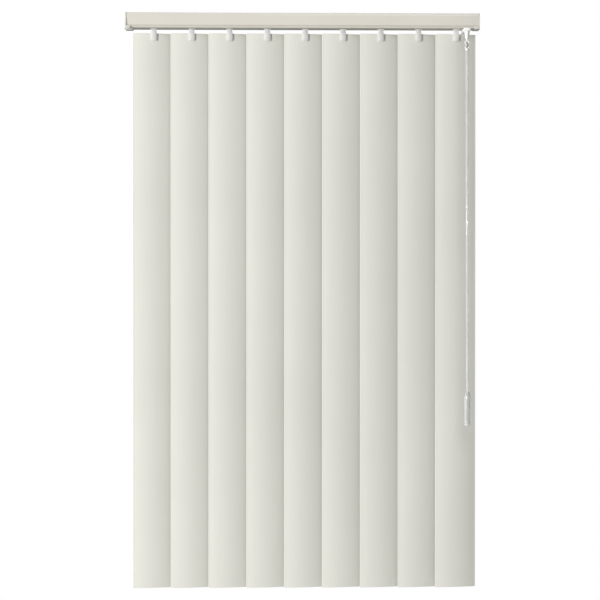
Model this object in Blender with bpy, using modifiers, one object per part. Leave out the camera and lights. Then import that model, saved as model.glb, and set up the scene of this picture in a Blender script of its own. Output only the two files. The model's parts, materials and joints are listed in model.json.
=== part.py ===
"""Vertical blind with nine hanging vanes, a channel headrail and a tilt-and-draw wand.

Metres, +Z up. The origin is the middle of the headrail's top face. X runs along the
rail, and the room side, where the wand hangs, is -Y. Every body sits under an empty
that stands on its joint's axis.
"""
import math

import bmesh
import bpy
from mathutils import Matrix

GAP = 0.0003              # clearance between pieces that touch
OVERLAP = 0.0004          # how far blocks that are joined run into each other

# Headrail and its caps
RAIL_LENGTH = 0.743
RAIL_DEPTH = 0.0445
RAIL_HEIGHT = 0.032
RAIL_WALL = 0.0013
SLOT_WIDTH = 0.018
GROOVE_Z = -0.0276        # folded groove along both faces, above the lip
GROOVE_HEIGHT = 0.0014
GROOVE_DEPTH = 0.0017
FOLD_WALL = 0.0009        # wall behind the groove
RIDGE_TOP = -0.0042       # flat ridge along both faces, near the top
RIDGE_BOTTOM = -0.0064
FACE_DROP = 0.0004        # how far the faces lie back from the ridge and the lip
TOP_RADIUS = 0.0026
CORNER_STEPS = 4
CAP_PLATE = 0.0032
CAP_PLUG = 0.0078
LEFT_TONGUE = 0.0205
RIGHT_TONGUE = 0.0095
CAP_TONGUE_WIDTH = 0.028
LEFT_TONGUE_DEPTH = 0.003
RIGHT_TONGUE_DEPTH = 0.0012
CAP_TONGUE_LEAN = 1.17    # how far each end of the tongue leans in, as a share of its depth
CAP_LEDGE = 0.0012        # how far the tongue stands out past the plate
CAP_TAB_LENGTH = 0.0115   # tab that laps the lip on both faces
CAP_TAB_HEIGHT = 0.0044
CAP_TAB_DEPTH = 0.0006

# Vanes
VANE_COUNT = 9
VANE_PITCH = 0.0794
VANE_MIDDLE_X = 0.006     # the fifth vane's axis
VANE_FLAT_WIDTH = 0.089
VANE_CAMBER = 0.004
VANE_THICKNESS = 0.0008
VANE_TOP = -0.0418
VANE_BOTTOM = -1.2045
VANE_COLUMNS = 12
VANE_REST_ANGLE = math.radians(14)
HOLE_WIDTH = 0.0062
HOLE_TOP = -0.0473
HOLE_BOTTOM = -0.0512

# Carriers, and what turns inside them
CARRIER_LENGTH = 0.0172
CARRIER_FRONT = -0.0095
CARRIER_BACK = 0.0155
CARRIER_TOP = -0.0018
CARRIER_BOTTOM = -0.0336
SHOE_HALF_WIDTH = 0.0185
SHOE_TOP = -0.0275
SHOE_BOTTOM = -0.0303
NECK_HALF_WIDTH = 0.0084
NECK_HALF_LENGTH = 0.0068
WORM_PLAY = 0.0006         # clearance round a worm in its bore
ROD_Y = 0.00915
ROD_Z = -0.0155
ROD_RADIUS = 0.0024
ROD_GROOVE_RADIUS = 0.0019
ROD_LOBES = 4
ROD_BEARING = 0.0045      # length of each end of the rod inside its cap
WORM_RADIUS = 0.004
WORM_ROOT = 0.0034
WORM_STARTS = 4
WORM_LENGTH = 0.0145
WORM_LAYERS = 6           # steps in the twist of a worm
RIM_POINTS = 4            # rim points to a worm's tooth: two at the tip, two at the root
GEAR_TEETH = 19
GEAR_RADIUS = 0.005
GEAR_ROOT = 0.0044
GEAR_TOP = -0.0125
GEAR_BOTTOM = -0.0185
PIVOT_RADIUS = 0.002
PIVOT_TOP = -0.0102
SHAFT_RADIUS = 0.003

# Spacer strips: five lanes, one above the other, are enough for them to nest
LANES = 5
LANE_PITCH = 0.00105
LANE_TOP = -0.0033
STRIP_THICKNESS = 0.0005
STRIP_WIDTH = 0.007
STRIP_REACH = 0.0014      # how far a strip stands out past the next carrier's middle
STRIP_LENGTH = VANE_PITCH + CARRIER_LENGTH / 2 + STRIP_REACH

# Stem clips
NECK_WIDTH = 0.0096
NECK_DEPTH = 0.0036
CLIP_HALF_WIDTH = 0.0058
CLIP_TOP = -0.0385
BRIDGE_BOTTOM = VANE_TOP + 0.0004
FRONT_LEAF = (-0.0023, -0.0007)
FRONT_LEAF_BOTTOM = -0.057
REAR_LEAF = (0.00085, 0.00195)
REAR_LEAF_BOTTOM = -0.053
PEG_HALF_WIDTH = 0.0022
PEG_TOP = HOLE_TOP - GAP
PEG_BOTTOM = -0.0496
PEG_BACK = 0.00055

# Wand and its drive
WAND_X = 0.3418
WAND_Y = -0.052           # the grip then clears the edges of open vanes
ARM_HALF_WIDTH = 0.0065
ARM_TOP = -0.0346
ARM_BOTTOM = -0.0413
ARM_WALL = 0.0007
RISER_HALF_DEPTH = 0.0074  # the block that joins the arm to its carrier
ARM_BACK = 0.0078
CROSS_Z = -0.03795
BEVEL_LARGE = 0.0024
BEVEL_SMALL = 0.0010
BEVEL_SHRINK = 0.00012    # half of the play between two bevel gears
CROSS_RADIUS = 0.0013
BOSS_RADIUS = 0.0052
BOSS_BOTTOM = -0.0468
SPINDLE_RADIUS = 0.0026
DRIVE_GEAR_TEETH = 16
DRIVE_GEAR_RADIUS = 0.0045
DRIVE_GEAR_ROOT = 0.0039
DRIVE_STARTS = 8
DRIVE_TWIST = math.pi / 2
SPINDLE_EYE_Z = -0.0645
SPINDLE_EYE_RADIUS = 0.0038
SPINDLE_WIRE = 0.00105
SPINDLE_BARREL = 0.0044
BARREL_BOTTOM = -0.0525
LINK_Z = -0.0696
LINK_RADIUS = 0.00355
LINK_WIRE = 0.0009
WAND_EYE_Z = -0.07415
WAND_EYE_RADIUS = 0.0033
WAND_WIRE = 0.0011
HEAD_TOP = -0.0772
HEAD_BOTTOM = -0.0812
HEAD_RADIUS = 0.0036
WAND_RADIUS = 0.0033
GRIP_TOP = -0.7925
GRIP_SHOULDER = -0.806
GRIP_BOTTOM = -0.8633
GRIP_RADIUS = 0.00675
GRIP_FLOOR = 0.0035
GRIP_RIM = 0.0008          # chamfer round the grip's foot
GRIP_COLLAR = WAND_RADIUS + 0.0012

MATERIALS = {
    "painted_rail": ((0.72, 0.70, 0.62), 0.45, 0.0),
    "vane_pvc": ((0.80, 0.80, 0.75), 0.50, 0.0),
    "white_plastic": ((0.85, 0.85, 0.83), 0.40, 0.0),
    "cap_plastic": ((0.64, 0.62, 0.56), 0.45, 0.0),
    "grey_plastic": ((0.55, 0.55, 0.52), 0.50, 0.0),
    "clear_plastic": ((0.88, 0.89, 0.88), 0.15, 0.0),
    "rod_aluminium": ((0.75, 0.75, 0.76), 0.35, 0.9),
    "strip_steel": ((0.62, 0.63, 0.64), 0.35, 0.9),
    "hook_steel": ((0.45, 0.45, 0.45), 0.35, 0.9),
}


def clear_scene():
    for old in list(bpy.data.objects):
        bpy.data.objects.remove(old, do_unlink=True)


def new_collection(name):
    collection = bpy.data.collections.new(name)
    bpy.context.scene.collection.children.link(collection)
    return collection


def make_material(name):
    colour, roughness, metallic = MATERIALS[name]
    material = bpy.data.materials.new(name)
    material.use_nodes = True
    shader = material.node_tree.nodes["Principled BSDF"]
    shader.inputs["Base Color"].default_value = (*colour, 1.0)
    shader.inputs["Roughness"].default_value = roughness
    shader.inputs["Metallic"].default_value = metallic
    return material


clear_scene()
BLIND = new_collection("vertical_blind")
CUTTERS = new_collection("cutters")
MATERIAL = {name: make_material(name) for name in MATERIALS}


def link(obj, collection):
    collection.objects.link(obj)
    return obj


def pivot(name, location, angle=0.0, parent=None):
    """An empty on a joint's axis, turned about Z by angle."""
    empty = link(bpy.data.objects.new(name, None), BLIND)
    empty.parent = parent
    empty.location = location
    empty.rotation_euler = (0, 0, angle)
    return empty


def place(name, mesh, material, parent=None, location=(0, 0, 0)):
    """One sub-part: an object of its own, which may share its mesh."""
    obj = link(bpy.data.objects.new(name, mesh), BLIND)
    obj.parent = parent
    obj.location = location
    if not mesh.materials:
        mesh.materials.append(MATERIAL[material])
    return obj


def scratch(name, mesh):
    """A helper solid: a cutter, or a shape that is joined into another."""
    obj = link(bpy.data.objects.new(name, mesh), CUTTERS)
    obj.hide_render = True
    obj.display_type = "WIRE"
    return obj


def mesh_from(name, bm):
    mesh = bpy.data.meshes.new(name)
    bm.to_mesh(mesh)
    bm.free()
    return mesh


def box(low, high):
    """An axis-aligned box between two corners."""
    bm = bmesh.new()
    bmesh.ops.create_cube(bm, size=1.0)
    size = [b - a for a, b in zip(low, high)]
    middle = [(a + b) / 2 for a, b in zip(low, high)]
    bmesh.ops.scale(bm, vec=size, verts=bm.verts)
    bmesh.ops.translate(bm, vec=middle, verts=bm.verts)
    return scratch("box", mesh_from("box", bm))


def cone(start, end, radius_start, radius_end, axis="Z", sides=16):
    """A cylinder or cone frustum along an axis; start and end are its middles."""
    bm = bmesh.new()
    length = math.dist(start, end)
    bmesh.ops.create_cone(bm, cap_ends=True, segments=sides, depth=length,
                          radius1=radius_start, radius2=radius_end)
    turn = {"X": Matrix.Rotation(math.pi / 2, 4, "Y"), "Z": Matrix.Identity(4),
            "Y": Matrix.Rotation(-math.pi / 2, 4, "X")}[axis]
    bmesh.ops.transform(bm, matrix=turn, verts=bm.verts)
    middle = [(a + b) / 2 for a, b in zip(start, end)]
    bmesh.ops.translate(bm, vec=middle, verts=bm.verts)
    return scratch("cone", mesh_from("cone", bm))


def upright(x, y, low, high, radius, sides=16):
    """A vertical cylinder."""
    return cone((x, y, low), (x, y, high), radius, radius, "Z", sides)


def ring(centre, radius, wire, axis):
    """A wire ring whose hole points along the axis."""
    bpy.ops.mesh.primitive_torus_add(major_radius=radius, minor_radius=wire,
                                     major_segments=20, minor_segments=8)
    obj = bpy.context.object
    mesh = obj.data
    bpy.data.objects.remove(obj)
    turn = {"X": Matrix.Rotation(math.pi / 2, 4, "Y"), "Y": Matrix.Rotation(math.pi / 2, 4, "X")}[axis]
    mesh.transform(Matrix.Translation(centre) @ turn)
    return scratch("ring", mesh)


def outline_solid(points, thickness, matrix):
    """A flat outline as a filled 2D curve with thickness, made a mesh and placed."""
    curve = bpy.data.curves.new("outline", "CURVE")
    curve.dimensions = "2D"
    curve.fill_mode = "BOTH"
    curve.extrude = thickness / 2
    spline = curve.splines.new("POLY")
    spline.points.add(len(points) - 1)
    for point, (u, v) in zip(spline.points, points):
        point.co = (u, v, 0, 1)
    spline.use_cyclic_u = True
    holder = scratch("outline", curve)
    bpy.context.view_layer.update()
    graph = bpy.context.evaluated_depsgraph_get()
    mesh = bpy.data.meshes.new_from_object(holder.evaluated_get(graph))
    bpy.data.objects.remove(holder)
    bm = bmesh.new()
    bm.from_mesh(mesh)
    bmesh.ops.remove_doubles(bm, verts=bm.verts, dist=1e-7)
    bmesh.ops.recalc_face_normals(bm, faces=bm.faces)
    bmesh.ops.transform(bm, matrix=matrix, verts=bm.verts)
    bm.to_mesh(mesh)
    bm.free()
    return scratch("outline", mesh)


def toothed(teeth, radius, root):
    """A toothed outline: crest and root points take turns round a circle."""
    steps = 2 * teeth
    points = []
    for step in range(steps):
        reach = radius if step % 2 == 0 else root
        angle = 2 * math.pi * step / steps
        points.append((reach * math.cos(angle), reach * math.sin(angle)))
    return points


def along_z(x, y, z):
    return Matrix.Translation((x, y, z))


def along_x(x, y, z):
    """Takes an outline's u to Y, its v to Z and its thickness to X."""
    axes = Matrix(((0, 0, 1), (1, 0, 0), (0, 1, 0))).to_4x4()
    return Matrix.Translation((x, y, z)) @ axes


def combine(name, base, others, operation):
    """The base with the others joined to it or cut from it, as one mesh."""
    for other in others:
        modifier = base.modifiers.new(operation, "BOOLEAN")
        modifier.operation = operation
        modifier.solver = "EXACT"
        modifier.object = other
    bpy.context.view_layer.update()
    graph = bpy.context.evaluated_depsgraph_get()
    mesh = bpy.data.meshes.new_from_object(base.evaluated_get(graph))
    mesh.name = name
    for used in [base, *others]:
        bpy.data.objects.remove(used)
    mesh.materials.clear()
    return mesh


def joined(name, base, *others):
    return combine(name, base, others, "UNION")


def cut(name, mesh, *cutters):
    return combine(name, scratch(name, mesh), cutters, "DIFFERENCE")


def vane_x(number):
    """The X of a vane's axis; vanes are numbered from 1 at the left."""
    return VANE_MIDDLE_X + (number - (VANE_COUNT + 1) / 2) * VANE_PITCH


def rail_outline():
    """The channel's section: u is Y and v is Z, from the slot's front edge round the outside."""
    half = RAIL_DEPTH / 2
    slot = SLOT_WIDTH / 2
    groove_low = GROOVE_Z - GROOVE_HEIGHT / 2
    groove_high = GROOVE_Z + GROOVE_HEIGHT / 2
    face = half - FACE_DROP
    front = [(-slot, -RAIL_HEIGHT), (-half, -RAIL_HEIGHT), (-half, groove_low),
             (-half + GROOVE_DEPTH, groove_low), (-half + GROOVE_DEPTH, groove_high),
             (-face, groove_high), (-face, RIDGE_BOTTOM - FACE_DROP), (-half, RIDGE_BOTTOM),
             (-half, RIDGE_TOP), (-face, RIDGE_TOP + FACE_DROP)]
    corner = []
    for step in range(CORNER_STEPS + 1):
        angle = math.pi - step * math.pi / 2 / CORNER_STEPS
        corner.append((-face + TOP_RADIUS + TOP_RADIUS * math.cos(angle),
                       -TOP_RADIUS + TOP_RADIUS * math.sin(angle)))
    outer = front + corner
    outer += [(-u, v) for u, v in reversed(outer)]
    inner_half = face - RAIL_WALL
    fold_half = half - GROOVE_DEPTH - FOLD_WALL
    fold_low, fold_high = groove_low - FOLD_WALL, groove_high + FOLD_WALL
    inner = [(slot, RAIL_WALL - RAIL_HEIGHT), (inner_half, RAIL_WALL - RAIL_HEIGHT),
             (inner_half, fold_low), (fold_half, fold_low), (fold_half, fold_high),
             (inner_half, fold_high), (inner_half, -RAIL_WALL)]
    inner += [(-u, v) for u, v in reversed(inner)]
    return outer + inner


def build_headrail():
    length = RAIL_LENGTH - 2 * (CAP_PLATE + GAP)
    solid = outline_solid(rail_outline(), length, along_x(0, 0, 0))
    rail = place("headrail", solid.data, "painted_rail")
    bpy.data.objects.remove(solid)
    return rail


def leaning_block(low, high, lean_low, lean_high):
    """A box whose foot is shorter along X by lean_low at its left and lean_high at its right."""
    block = box(low, high)
    for vert in block.data.vertices:
        if vert.co.z < (low[2] + high[2]) / 2:
            vert.co.x += lean_low if vert.co.x < (low[0] + high[0]) / 2 else -lean_high
    return block


def build_end_cap(name, side, tongue_length, tongue_depth):
    """A cap's plate, the plug with the rod's bearing, two lip tabs and the tongue under the rail."""
    end = side * RAIL_LENGTH / 2
    half = RAIL_DEPTH / 2
    inner = half - GROOVE_DEPTH - FOLD_WALL - GAP
    lap = CAP_TAB_DEPTH / 2
    plate = sorted([end, end - side * CAP_PLATE])
    plug = sorted([end - side * CAP_PLATE / 2, end - side * (CAP_PLATE + CAP_PLUG)])
    tongue = sorted([end + side * CAP_LEDGE, end - side * (tongue_length - CAP_LEDGE)])
    tab = sorted([end, end - side * CAP_TAB_LENGTH])
    bottom = -RAIL_HEIGHT - GAP
    foot = bottom - tongue_depth
    lean = CAP_TONGUE_LEAN * tongue_depth
    tongue_half = CAP_TONGUE_WIDTH / 2
    tab_face = half + GAP + CAP_TAB_DEPTH
    shape = joined(
        name,
        box((plate[0], -half, bottom - lap), (plate[1], half, 0)),
        box((plug[0], -inner, RAIL_WALL + GAP - RAIL_HEIGHT), (plug[1], inner, -RAIL_WALL - GAP)),
        box((tab[0], -tab_face, bottom - lap), (tab[1], -half - GAP, bottom + CAP_TAB_HEIGHT)),
        box((tab[0], half + GAP, bottom - lap), (tab[1], tab_face, bottom + CAP_TAB_HEIGHT)),
        box((tab[0], -half - GAP - lap, bottom - CAP_TAB_DEPTH), (tab[1], half + GAP + lap, bottom)),
        box((plate[0], -half - GAP - lap, bottom - CAP_TAB_DEPTH),
            (plate[1], half + GAP + lap, bottom + CAP_TAB_HEIGHT)),
        leaning_block((tongue[0], -tongue_half, foot), (tongue[1], tongue_half, bottom - lap / 2),
                      lean, lean),
    )
    bearing = ROD_RADIUS + GAP
    inner_end = end - side * (CAP_PLATE + CAP_PLUG + GAP)
    hole = sorted([inner_end, inner_end + side * (ROD_BEARING + GAP)])
    bore = cone((hole[0], ROD_Y, ROD_Z), (hole[1], ROD_Y, ROD_Z), bearing, bearing, "X")
    return place(name, cut(name, shape, bore), "cap_plastic")


def build_tilt_rod():
    """The splined rod, from one cap's bearing to the other's."""
    half = RAIL_LENGTH / 2 - CAP_PLATE - CAP_PLUG + ROD_BEARING - GAP
    solid = outline_solid(toothed(ROD_LOBES * 2, ROD_RADIUS, ROD_GROOVE_RADIUS), 2 * half,
                          along_x(0, 0, 0))
    axle = pivot("tilt_rod_axis", (0, ROD_Y, ROD_Z))
    place("tilt_rod", solid.data, "rod_aluminium", axle)
    bpy.data.objects.remove(solid)


def worm_mesh(name, radius, root, lobes, length, twist):
    """A sleeve with helical teeth: a toothed outline extruded along X and turned as it goes."""
    bm = bmesh.new()
    bmesh.ops.create_circle(bm, cap_ends=True, segments=lobes * RIM_POINTS, radius=radius)
    for index, vert in enumerate(sorted(bm.verts, key=lambda v: math.atan2(v.co.y, v.co.x))):
        if index % RIM_POINTS >= RIM_POINTS / 2:
            vert.co *= root / radius
    bmesh.ops.translate(bm, vec=(0, 0, -length / 2), verts=bm.verts)
    face = bm.faces[:][0]
    for layer in range(WORM_LAYERS):
        grown = bmesh.ops.extrude_face_region(bm, geom=[face])
        if layer > 0:
            bm.faces.remove(face)
        face = [item for item in grown["geom"] if isinstance(item, bmesh.types.BMFace)][0]
        bmesh.ops.translate(bm, vec=(0, 0, length / WORM_LAYERS), verts=face.verts)
        bmesh.ops.rotate(bm, matrix=Matrix.Rotation(twist / WORM_LAYERS, 3, "Z"), verts=face.verts)
    bmesh.ops.recalc_face_normals(bm, faces=bm.faces)
    bmesh.ops.rotate(bm, matrix=Matrix.Rotation(math.pi / 2, 3, "Y"), verts=bm.verts)
    solid = mesh_from(name, bm)
    bore = ROD_RADIUS + GAP
    return cut(name, solid, cone((-length, 0, 0), (length, 0, 0), bore, bore, "X", 12))


def carrier_mesh():
    """A carrier: shoes on the rail's lips, a neck through the slot, and the gear's pocket."""
    half = CARRIER_LENGTH / 2
    worm_bore = WORM_RADIUS + WORM_PLAY
    body = joined(
        "carrier",
        box((-half, CARRIER_FRONT, SHOE_BOTTOM), (half, CARRIER_BACK, CARRIER_TOP)),
        box((-half, -SHOE_HALF_WIDTH, SHOE_BOTTOM), (half, SHOE_HALF_WIDTH, SHOE_TOP)),
        box((-NECK_HALF_LENGTH, -NECK_HALF_WIDTH, CARRIER_BOTTOM),
            (NECK_HALF_LENGTH, NECK_HALF_WIDTH, SHOE_TOP)),
    )
    window_low = LANE_TOP - LANES * LANE_PITCH - GAP
    return cut(
        "carrier", body,
        box((-2 * half, -STRIP_WIDTH / 2 - 2 * GAP, window_low),
            (2 * half, STRIP_WIDTH / 2 + 2 * GAP, LANE_TOP + 2 * GAP)),
        cone((-2 * half, ROD_Y, ROD_Z), (2 * half, ROD_Y, ROD_Z), worm_bore, worm_bore, "X"),
        upright(0, 0, GEAR_BOTTOM - GAP, GEAR_TOP + GAP, GEAR_RADIUS + GAP),
        upright(0, 0, GEAR_TOP, PIVOT_TOP + GAP, PIVOT_RADIUS + GAP, 12),
        upright(0, 0, CARRIER_BOTTOM - GAP, GEAR_BOTTOM, SHAFT_RADIUS + GAP),
    )


def stem_gear(teeth, radius, root):
    """The gear at the head of a vertical stem."""
    middle = (GEAR_TOP + GEAR_BOTTOM) / 2
    return outline_solid(toothed(teeth, radius, root), GEAR_TOP - GEAR_BOTTOM, along_z(0, 0, middle))


def stem_mesh():
    """Gear, shaft, flat neck and the two-leaf clip with its peg."""
    front, back = FRONT_LEAF[0], REAR_LEAF[1]
    return joined(
        "stem",
        stem_gear(GEAR_TEETH, GEAR_RADIUS, GEAR_ROOT),
        upright(0, 0, GEAR_TOP - OVERLAP, PIVOT_TOP, PIVOT_RADIUS, 12),
        upright(0, 0, CARRIER_BOTTOM - OVERLAP, GEAR_BOTTOM + OVERLAP, SHAFT_RADIUS, 14),
        box((-NECK_WIDTH / 2, -NECK_DEPTH / 2, CLIP_TOP - OVERLAP),
            (NECK_WIDTH / 2, NECK_DEPTH / 2, CARRIER_BOTTOM - GAP)),
        box((-CLIP_HALF_WIDTH, front, BRIDGE_BOTTOM), (CLIP_HALF_WIDTH, back, CLIP_TOP)),
        box((-CLIP_HALF_WIDTH, front, FRONT_LEAF_BOTTOM),
            (CLIP_HALF_WIDTH, FRONT_LEAF[1], CLIP_TOP - OVERLAP)),
        box((-CLIP_HALF_WIDTH, REAR_LEAF[0], REAR_LEAF_BOTTOM),
            (CLIP_HALF_WIDTH, back, CLIP_TOP - OVERLAP)),
        box((-PEG_HALF_WIDTH, FRONT_LEAF[1] - OVERLAP, PEG_BOTTOM), (PEG_HALF_WIDTH, PEG_BACK, PEG_TOP)),
    )


def vane_mesh():
    """A cambered strip given thickness, its middle in front, with its punched hole."""
    half_angle = 2 * math.atan(4 * VANE_CAMBER / VANE_FLAT_WIDTH / 2)
    radius = VANE_FLAT_WIDTH / 2 / half_angle
    bm = bmesh.new()
    bmesh.ops.create_grid(bm, x_segments=VANE_COLUMNS, y_segments=1, size=0.5)
    for vert in bm.verts:
        angle = 2 * vert.co.x * half_angle
        z = VANE_TOP if vert.co.y > 0 else VANE_BOTTOM
        vert.co = (radius * math.sin(angle), radius * (1 - math.cos(angle)), z)
    strip = scratch("vane", mesh_from("vane", bm))
    wall = strip.modifiers.new("thickness", "SOLIDIFY")
    wall.thickness = VANE_THICKNESS
    wall.offset = 0
    wall.use_even_offset = True
    reach = VANE_CAMBER
    hole = box((-HOLE_WIDTH / 2, -reach, HOLE_BOTTOM), (HOLE_WIDTH / 2, reach, HOLE_TOP))
    mesh = combine("vane", strip, [hole], "DIFFERENCE")
    bm = bmesh.new()
    bm.from_mesh(mesh)
    bmesh.ops.recalc_face_normals(bm, faces=bm.faces)
    bm.to_mesh(mesh)
    bm.free()
    return mesh


def spacer_mesh(lane):
    """A flat strip in its lane, from its own carrier through the next one's window."""
    top = LANE_TOP - lane * LANE_PITCH
    holder = box((0, -STRIP_WIDTH / 2, top - STRIP_THICKNESS), (STRIP_LENGTH, STRIP_WIDTH / 2, top))
    mesh = holder.data
    bpy.data.objects.remove(holder)
    return mesh


def build_vanes_and_carriers():
    """Nine carriers, each with its worm sleeve, geared stem and vane, and the spacers."""
    carrier = carrier_mesh()
    worm = worm_mesh("worm", WORM_RADIUS, WORM_ROOT, WORM_STARTS, WORM_LENGTH, math.pi)
    stem = stem_mesh()
    vane = vane_mesh()
    for number in range(1, VANE_COUNT + 1):
        slide = pivot(f"carrier_{number}_slide", (vane_x(number), 0, 0))
        place(f"carrier_{number}", carrier, "white_plastic", slide)
        place(f"worm_{number}", worm, "grey_plastic", slide, (0, ROD_Y, ROD_Z))
        tilt = pivot(f"vane_{number}_axis", (0, 0, 0), VANE_REST_ANGLE, slide)
        place(f"stem_{number}", stem, "clear_plastic", tilt)
        place(f"vane_{number}", vane, "vane_pvc", tilt)
        if number < VANE_COUNT:
            lane = (number - 1) % LANES
            place(f"spacer_{number}", spacer_mesh(lane), "strip_steel", slide)
    return carrier


def bevel_gear(apex, towards, axis):
    """A bevel gear whose cone's point is the apex; towards is +1 or -1 along the axis."""
    index = "XYZ".index(axis)
    near, far = list(apex), list(apex)
    near[index] += towards * (BEVEL_SMALL + BEVEL_SHRINK)
    far[index] += towards * (BEVEL_LARGE + BEVEL_SHRINK)
    small, large = BEVEL_SMALL - BEVEL_SHRINK, BEVEL_LARGE - BEVEL_SHRINK
    if towards > 0:
        return cone(near, far, small, large, axis)
    return cone(far, near, large, small, axis)


def build_wand_drive(carrier):
    """The wand's own carrier, its arm, and the shafts that link the rod to the spindle."""
    slide = pivot("wand_carrier_slide", (WAND_X, 0, 0))
    place("wand_carrier", carrier, "white_plastic", slide)
    sleeve = worm_mesh("drive_sleeve", DRIVE_GEAR_RADIUS, DRIVE_GEAR_ROOT, DRIVE_STARTS,
                        WORM_LENGTH, DRIVE_TWIST)
    place("drive_sleeve", sleeve, "grey_plastic", slide, (0, ROD_Y, ROD_Z))
    apex = (0, 0, CROSS_Z)
    front_apex = (0, WAND_Y, CROSS_Z)
    stem = joined(
        "drive_stem",
        stem_gear(DRIVE_GEAR_TEETH, DRIVE_GEAR_RADIUS, DRIVE_GEAR_ROOT),
        upright(0, 0, GEAR_TOP - OVERLAP, PIVOT_TOP, PIVOT_RADIUS, 12),
        upright(0, 0, CROSS_Z + BEVEL_LARGE, GEAR_BOTTOM + OVERLAP, BEVEL_LARGE - 2 * BEVEL_SHRINK),
        bevel_gear(apex, 1, "Z"),
    )
    place("drive_stem", stem, "grey_plastic", slide)
    cross_back = -BEVEL_LARGE + OVERLAP / 2
    cross_front = WAND_Y + BEVEL_LARGE - OVERLAP / 2
    cross = joined(
        "cross_shaft",
        cone((0, cross_front, CROSS_Z), (0, cross_back, CROSS_Z), CROSS_RADIUS, CROSS_RADIUS, "Y"),
        bevel_gear(apex, -1, "Y"),
        bevel_gear(front_apex, 1, "Y"),
    )
    axle = pivot("cross_shaft_axis", (0, 0, 0), 0, slide)
    place("cross_shaft", cross, "grey_plastic", axle)
    build_arm(slide)
    build_wand(slide)


def build_arm(slide):
    """The arm under the rail: a tray, open below, and its cover with the spindle's boss."""
    cover_top = ARM_BOTTOM + ARM_WALL
    front = WAND_Y - ARM_HALF_WIDTH
    tray = joined(
        "wand_arm",
        box((-ARM_HALF_WIDTH, front, cover_top + GAP), (ARM_HALF_WIDTH, ARM_BACK, ARM_TOP)),
        box((-ARM_HALF_WIDTH, -RISER_HALF_DEPTH, ARM_TOP - ARM_WALL / 2),
            (ARM_HALF_WIDTH, RISER_HALF_DEPTH, CARRIER_BOTTOM - GAP)),
    )
    bore = BEVEL_LARGE + GAP
    arm = cut(
        "wand_arm", tray,
        box((ARM_WALL - ARM_HALF_WIDTH, front + ARM_WALL, cover_top - ARM_WALL),
            (ARM_HALF_WIDTH - ARM_WALL, ARM_BACK - ARM_WALL, ARM_TOP - ARM_WALL)),
        upright(0, 0, ARM_TOP - 2 * ARM_WALL, CARRIER_BOTTOM + ARM_WALL, bore),
    )
    place("wand_arm", arm, "clear_plastic", slide)
    plate = joined(
        "arm_cover",
        box((-ARM_HALF_WIDTH, front, ARM_BOTTOM), (ARM_HALF_WIDTH, ARM_BACK, cover_top)),
        upright(0, WAND_Y, BOSS_BOTTOM, cover_top - ARM_WALL / 2, BOSS_RADIUS, 20),
    )
    cover = cut("arm_cover", plate,
                upright(0, WAND_Y, BOSS_BOTTOM - ARM_WALL, cover_top + ARM_WALL, SPINDLE_RADIUS + GAP))
    place("arm_cover", cover, "clear_plastic", slide)


def build_wand(slide):
    """Spindle, link, head, rod and grip, each under the empty on its own joint's axis."""
    spindle_axis = pivot("spindle_axis", (0, WAND_Y, 0), 0, slide)
    shoulder = BOSS_BOTTOM - GAP
    taper_bottom = SPINDLE_EYE_Z + SPINDLE_EYE_RADIUS
    spindle = joined(
        "spindle",
        upright(0, 0, shoulder - OVERLAP, CROSS_Z - BEVEL_LARGE, SPINDLE_RADIUS - BEVEL_SHRINK),
        bevel_gear((0, 0, CROSS_Z), -1, "Z"),
        upright(0, 0, BARREL_BOTTOM, shoulder, SPINDLE_BARREL),
        cone((0, 0, taper_bottom), (0, 0, BARREL_BOTTOM + OVERLAP), SPINDLE_WIRE, SPINDLE_BARREL),
        ring((0, 0, SPINDLE_EYE_Z), SPINDLE_EYE_RADIUS, SPINDLE_WIRE, "Y"),
    )
    place("spindle", spindle, "white_plastic", spindle_axis)

    link_bar = SPINDLE_EYE_Z - SPINDLE_EYE_RADIUS
    link_axis = pivot("wand_link_axis", (0, 0, link_bar), 0, spindle_axis)
    loop = ring((0, 0, LINK_Z - link_bar), LINK_RADIUS, LINK_WIRE, "X")
    place("wand_link", loop.data, "hook_steel", link_axis)
    bpy.data.objects.remove(loop)

    wand_bar = LINK_Z - LINK_RADIUS
    wand_axis = pivot("wand_axis", (0, 0, wand_bar - link_bar), 0, link_axis)
    head = joined(
        "wand_head",
        upright(0, 0, HEAD_BOTTOM, HEAD_TOP, HEAD_RADIUS),
        ring((0, 0, WAND_EYE_Z), WAND_EYE_RADIUS, WAND_WIRE, "Y"),
    )
    rod_bottom = GRIP_BOTTOM + GRIP_FLOOR + GAP
    rod = upright(0, 0, rod_bottom, HEAD_BOTTOM - GAP, WAND_RADIUS)
    lift = (0, 0, -wand_bar)
    place("wand_head", head, "clear_plastic", wand_axis, lift)
    place("wand_rod", rod.data, "clear_plastic", wand_axis, lift)
    bpy.data.objects.remove(rod)
    place("wand_grip", grip_mesh(), "clear_plastic", wand_axis, lift)


def grip_mesh():
    """A turned grip with a tapered shoulder, bored from its top for the rod."""
    profile = [(0, GRIP_TOP), (GRIP_COLLAR, GRIP_TOP), (GRIP_RADIUS, GRIP_SHOULDER),
               (GRIP_RADIUS, GRIP_BOTTOM + GRIP_RIM), (GRIP_RADIUS - GRIP_RIM, GRIP_BOTTOM), (0, GRIP_BOTTOM)]
    bm = bmesh.new()
    verts = [bm.verts.new((radius, 0, z)) for radius, z in profile]
    for first, second in zip(verts, verts[1:]):
        bm.edges.new((first, second))
    turned = scratch("grip", mesh_from("grip", bm))
    screw = turned.modifiers.new("turn", "SCREW")
    screw.steps = 20
    screw.render_steps = 20
    screw.use_merge_vertices = True
    screw.merge_threshold = 0.00001
    bore = upright(0, 0, GRIP_BOTTOM + GRIP_FLOOR, GRIP_TOP + GRIP_RIM, WAND_RADIUS + GAP)
    return combine("wand_grip", turned, [bore], "DIFFERENCE")


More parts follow.
